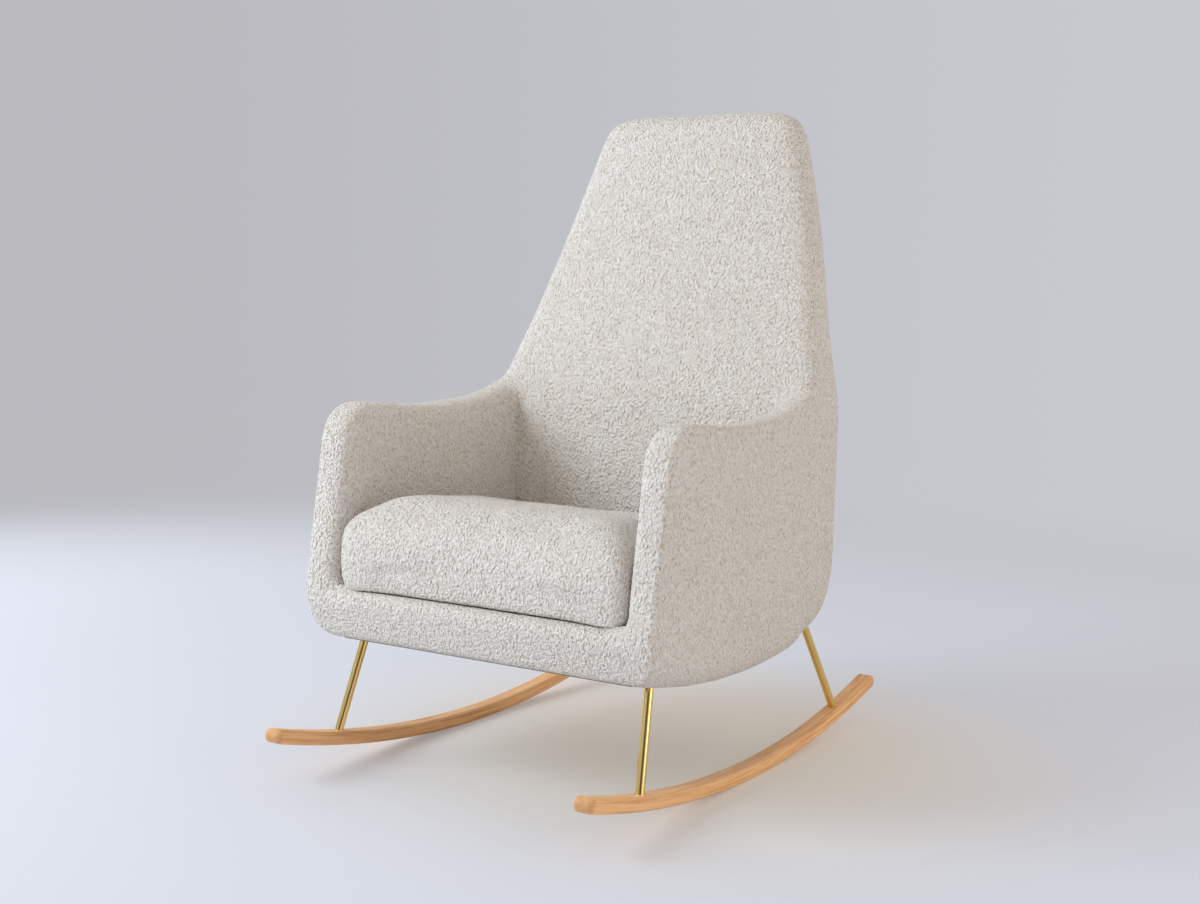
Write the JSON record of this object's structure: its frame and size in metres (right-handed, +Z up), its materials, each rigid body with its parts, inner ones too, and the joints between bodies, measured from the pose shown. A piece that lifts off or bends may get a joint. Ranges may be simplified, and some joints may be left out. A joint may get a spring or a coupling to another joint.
{
  "type": "upholstered rocking chair",
  "caption": "High-backed upholstered rocking chair: rounded tub shell in looped wool-like fabric, loose seat cushion, slim brass legs at compound angles, bent oak rockers.",
  "frame": {"origin": "on the floor, midway between the rockers and midway between their front and rear tips", "axes": "+Z up, the sitter faces -Y, +X towards the sitter's left"},
  "size_m": [0.6, 0.9403, 1.036],
  "materials": {
    "boucle": "matte looped pile",
    "brass": "polished",
    "oak": "satin lacquer",
    "plywood": "raw",
    "hardwood": "raw",
    "webbing": "matte woven strap",
    "lining_cloth": "matte"
  },
  "bodies": {
    "chair": {"back_webbing": "webbing", "crest_rail": "hardwood", "dust_cover": "lining_cloth", "front_band": "boucle", "front_left_block": "hardwood", "front_left_leg": "brass", "front_rail": "hardwood", "front_right_block": "hardwood", "front_right_leg": "brass", "inside_back": "boucle", "left_arm": "boucle", "left_arm_panel": "plywood", "left_back_rib": "plywood", "left_rocker": "oak", "lumbar_rail": "hardwood", "outside_back": "boucle", "rear_left_block": "hardwood", "rear_left_leg": "brass", "rear_rail": "hardwood", "rear_right_block": "hardwood", "rear_right_leg": "brass", "right_arm": "boucle", "right_arm_panel": "plywood", "right_back_rib": "plywood", "right_rocker": "oak", "seat_deck": "lining_cloth", "seat_webbing": "webbing", "shoulder_rail": "hardwood"},
    "cushion": {"seat_cushion": "boucle"}
  },
  "joints": [
    {"name": "cushion_lift", "type": "slide", "parent": "chair", "child": "cushion", "axis": [0, 0, 1], "range_m": [0, 0.3]}
  ]
}
